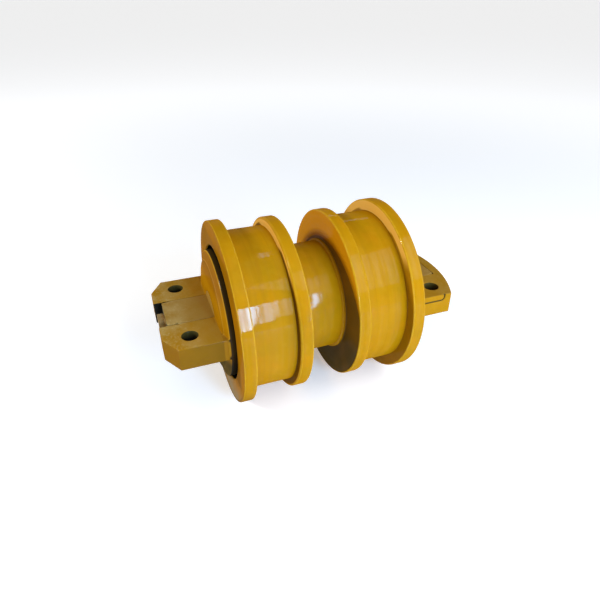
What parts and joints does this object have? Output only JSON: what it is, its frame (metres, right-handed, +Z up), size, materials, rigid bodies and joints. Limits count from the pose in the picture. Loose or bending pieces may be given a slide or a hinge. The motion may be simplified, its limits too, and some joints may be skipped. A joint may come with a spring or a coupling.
{
  "type": "track roller",
  "caption": "Double-flange track roller: a waisted yellow shell with flanged treads turns on a fixed shaft, held by end collars with flat seats and bolt holes.",
  "frame": {"origin": "centre of the roller, on its axis of rotation, midway between the two shell end faces", "axes": "+Y along the axis of rotation, +Z up through the mounting seats, +X across, along the line of the two bolt holes of a collar"},
  "size_m": [0.25, 0.417, 0.25],
  "materials": {
    "paint": "glossy industrial yellow enamel, thin on the machined seats",
    "seat_paint": "thin dusty overspray on machined steel",
    "steel": "ground",
    "dark_steel": "phosphated",
    "seal_metal": "lapped",
    "bronze": "turned, oiled",
    "rubber": "matt"
  },
  "bodies": {
    "axle": {"shaft": "seat_paint", "collar_left": "paint", "collar_right": "paint", "lock_pin_left": "dark_steel", "lock_pin_right": "dark_steel", "collar_o_ring_left": "rubber", "collar_o_ring_right": "rubber", "oil_plug": "seat_paint", "oil_plug_seal": "bronze", "fixed_seal_ring_left": "seal_metal", "fixed_seal_ring_right": "seal_metal", "fixed_toric_ring_left": "rubber", "fixed_toric_ring_right": "rubber"},
    "roller": {"roller_shell_left": "paint", "roller_shell_right": "paint", "bushing_left": "bronze", "bushing_right": "bronze", "bushing_bolts_left": "dark_steel", "bushing_bolts_right": "dark_steel", "lock_washers_left": "steel", "lock_washers_right": "steel", "bushing_o_ring_left": "rubber", "bushing_o_ring_right": "rubber", "rotating_seal_ring_left": "seal_metal", "rotating_seal_ring_right": "seal_metal", "rotating_toric_ring_left": "rubber", "rotating_toric_ring_right": "rubber"}
  },
  "joints": [
    {"name": "roller_spin", "type": "hinge", "parent": "axle", "child": "roller", "pos_m": [0, 0, 0], "axis": [0, 1, 0], "continuous": true}
  ]
}
